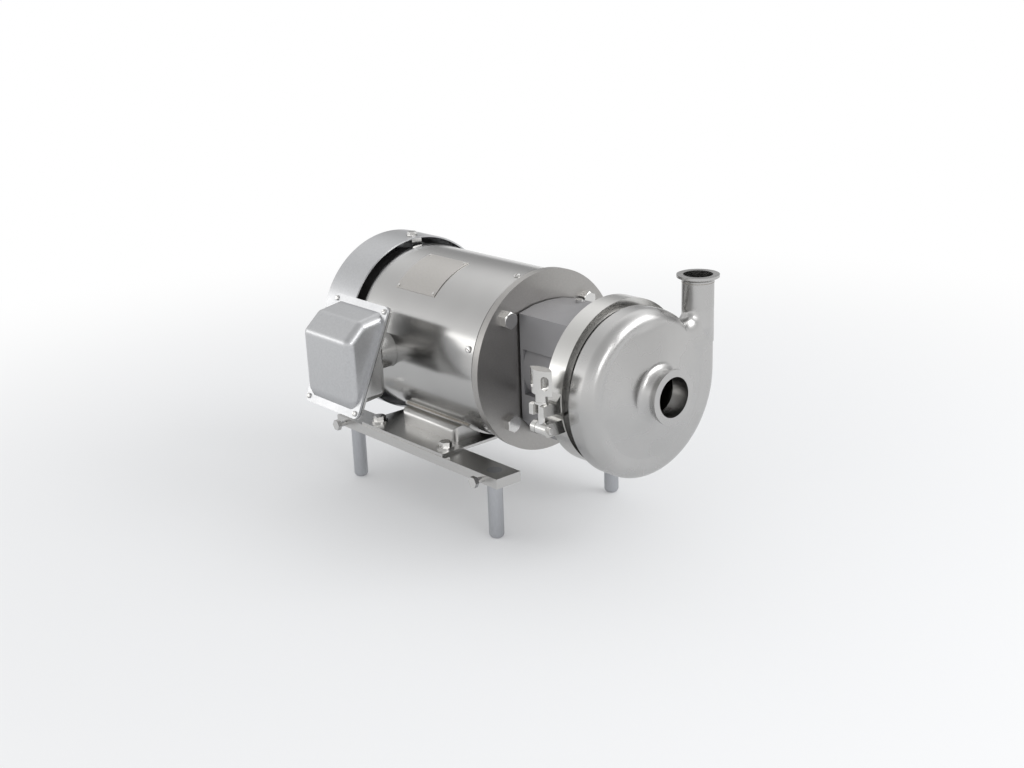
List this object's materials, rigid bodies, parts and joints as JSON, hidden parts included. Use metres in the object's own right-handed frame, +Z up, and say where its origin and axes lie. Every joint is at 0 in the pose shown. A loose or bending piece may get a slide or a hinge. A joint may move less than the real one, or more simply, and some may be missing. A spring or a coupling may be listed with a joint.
{
  "type": "sanitary centrifugal pump",
  "caption": "Close-coupled stainless centrifugal pump: foot-mounted motor on bars and legs, adapter, hinged clamp, spiral casing with clamp ferrules.",
  "frame": {"origin": "centre of the overall box in plan, on the floor under the legs", "axes": "+X along the shaft towards the suction mouth, +Z up, +Y towards the discharge side"},
  "size_m": [0.5326, 0.3389, 0.3282],
  "materials": {
    "shell_steel": "polished stainless",
    "cover_steel": "polished stainless",
    "disc_steel": "satin turned stainless",
    "casing_steel": "bright polished stainless",
    "clamp_steel": "cast and polished stainless",
    "cast_adapter": "satin cast stainless",
    "bar_steel": "brushed stainless",
    "leg_steel": "turned stainless",
    "bolt_steel": "stainless fasteners",
    "plate_metal": "satin, blank",
    "shaft_steel": "ground steel",
    "laminations": "varnished steel",
    "windings": "varnished copper",
    "dark_iron": "painted dark",
    "fan_plastic": "moulded",
    "seal_black": "elastomer",
    "seal_face": "carbon",
    "seal_ceramic": "ceramic",
    "terminal_plastic": "moulded"
  },
  "bodies": {
    "frame": {"motor_shell": "shell_steel", "motor_foot": "bar_steel", "front_end_bell": "dark_iron", "rear_end_bell": "dark_iron", "stator_core": "laminations", "stator_windings": "windings", "bearing_outer_rings": "shaft_steel", "fan_cover": "cover_steel", "fan_cover_bolts": "bolt_steel", "fan_cover_brackets": "bolt_steel", "shell_screws": "bolt_steel", "nameplate": "plate_metal", "nameplate_rivets": "bolt_steel", "conduit_box_base": "shell_steel", "conduit_box_gasket": "seal_black", "conduit_box_cover": "cover_steel", "conduit_box_screws": "bolt_steel", "conduit_neck": "shell_steel", "terminal_block": "terminal_plastic", "base_bar_left": "bar_steel", "base_bar_right": "bar_steel", "foot_bolts": "bolt_steel", "foot_washers": "bolt_steel", "leg_lock_screws": "bolt_steel", "adapter_flange": "disc_steel", "adapter": "cast_adapter", "shaft_guards": "cast_adapter", "adapter_screw": "bolt_steel", "adapter_bolts": "bolt_steel", "back_plate": "casing_steel", "casing_gasket": "seal_black", "pump_casing": "casing_steel", "seal_seat": "seal_ceramic", "clamp_lower": "clamp_steel", "clamp_upper": "clamp_steel", "clamp_hinge_pin": "bolt_steel", "clamp_bolt_pin": "bolt_steel"},
    "rotor": {"rotor_core": "laminations", "motor_shaft": "shaft_steel", "bearing_inner_rings": "shaft_steel", "cooling_fan": "fan_plastic", "shaft_slinger": "seal_black", "stub_shaft": "shaft_steel", "shaft_collar": "shaft_steel", "collar_screws": "bolt_steel", "impeller": "clamp_steel", "impeller_nut": "clamp_steel", "seal_ring": "seal_face", "seal_spring": "shaft_steel", "seal_collar": "clamp_steel"},
    "bearing_cage_set": {"bearing_balls": "shaft_steel"},
    "leg_fl": {"leg_front_left": "leg_steel"},
    "leg_fr": {"leg_front_right": "leg_steel"},
    "leg_rl": {"leg_rear_left": "leg_steel"},
    "leg_rr": {"leg_rear_right": "leg_steel"},
    "swing_bolt": {"clamp_bolt": "bolt_steel"},
    "bolt_washer": {"clamp_washer": "bolt_steel"},
    "wing_nut": {"clamp_wing_nut": "clamp_steel"}
  },
  "joints": [
    {"name": "rotor_spin", "type": "hinge", "parent": "frame", "child": "rotor", "pos_m": [0.0588, 0.03391, 0.2032], "axis": [1, 0, 0], "continuous": true},
    {"name": "bearing_balls_spin", "type": "hinge", "parent": "frame", "child": "bearing_cage_set", "pos_m": [0.0588, 0.03391, 0.2032], "axis": [1, 0, 0], "continuous": true},
    {"name": "leg_front_left_height", "type": "slide", "parent": "frame", "child": "leg_fl", "axis": [0, 0, 1], "range_m": [0, 0.03]},
    {"name": "leg_front_right_height", "type": "slide", "parent": "frame", "child": "leg_fr", "axis": [0, 0, 1], "range_m": [0, 0.03]},
    {"name": "leg_rear_left_height", "type": "slide", "parent": "frame", "child": "leg_rl", "axis": [0, 0, 1], "range_m": [0, 0.03]},
    {"name": "leg_rear_right_height", "type": "slide", "parent": "frame", "child": "leg_rr", "axis": [0, 0, 1], "range_m": [0, 0.03]},
    {"name": "bolt_swing", "type": "hinge", "parent": "frame", "child": "swing_bolt", "pos_m": [0.1758, -0.08459, 0.1752], "axis": [1, 0, 0], "range_deg": [0, 100]},
    {"name": "nut_turn", "type": "hinge", "parent": "bolt_washer", "child": "wing_nut", "pos_m": [0.1758, -0.08459, 0.2232], "axis": [0, 0, 1], "range_deg": [0, 1939.2]},
    {"name": "nut_travel", "type": "slide", "parent": "swing_bolt", "child": "bolt_washer", "axis": [0, 0, 1], "range_m": [0, 0.008]}
  ],
  "couplings": [
    {"joint": "bearing_balls_spin", "follows": "rotor_spin", "ratio": 0.38},
    {"joint": "nut_turn", "follows": "nut_travel", "rad_per_m": 4188.8}
  ]
}
